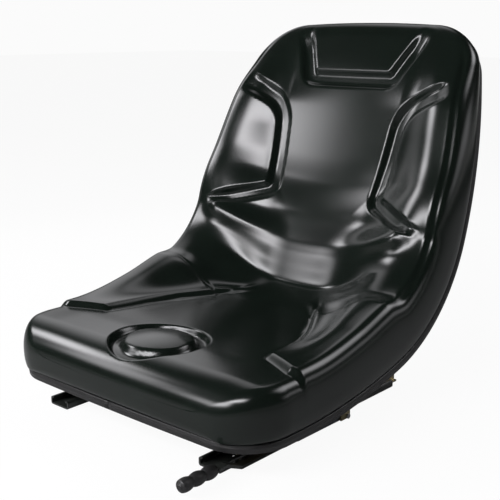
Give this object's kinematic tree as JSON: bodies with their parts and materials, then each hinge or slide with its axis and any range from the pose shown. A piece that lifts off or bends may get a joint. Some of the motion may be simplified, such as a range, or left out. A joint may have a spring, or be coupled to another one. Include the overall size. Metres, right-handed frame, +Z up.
{
  "type": "pan seat",
  "caption": "Moulded bucket seat with side bolsters on a pressed pan, carried on fore-aft slide rails with a release lever; bolts to a ride-on mower or small tractor.",
  "frame": {"origin": "middle of the four mounting holes, on the underside of the lower rails", "axes": "+Z up, the sitter faces -Y, +X is the sitter's left, the side with the release lever"},
  "size_m": [0.4752, 0.6299, 0.5252],
  "materials": {
    "vinyl": "glossy black vinyl skin",
    "pan_paint": "black powder coat",
    "trim": "satin black strip",
    "rail_paint": "dark paint",
    "rail_zinc": "yellow zinc plate",
    "nylon": "natural nylon",
    "fastener_zinc": "zinc plate",
    "lever_paint": "black paint",
    "grip_plastic": "satin black moulding",
    "spring_steel": "blued spring steel"
  },
  "bodies": {
    "base": {"lower_rail_left": "rail_paint", "lower_rail_right": "rail_paint", "travel_stops": "fastener_zinc"},
    "seat": {"seat_cushion": "vinyl", "seat_pan": "pan_paint", "edge_trim": "trim", "upper_rail_left": "rail_zinc", "upper_rail_right": "rail_zinc", "glide_shoes": "nylon", "pan_studs": "fastener_zinc", "rail_washers": "fastener_zinc", "rail_nuts": "fastener_zinc", "stop_pins": "fastener_zinc", "lever_bracket": "rail_zinc", "bracket_rivets": "fastener_zinc", "lever_pivot": "fastener_zinc", "pivot_clip": "spring_steel", "return_spring": "spring_steel", "spring_screw": "fastener_zinc"},
    "lever": {"release_lever": "lever_paint", "lever_grip": "grip_plastic", "latch_tooth": "fastener_zinc"}
  },
  "joints": [
    {"name": "seat_slide", "type": "slide", "parent": "base", "child": "seat", "axis": [0, 1, 0], "range_m": [-0.1, 0.05]},
    {"name": "release_lever", "type": "hinge", "parent": "seat", "child": "lever", "pos_m": [0.1745, 0.02, 0.006], "axis": [0, 0, 1], "range_deg": [0, 5], "stiffness_Nm_per_rad": 5, "springref_deg": -5.73, "deforming": ["return_spring"]}
  ]
}
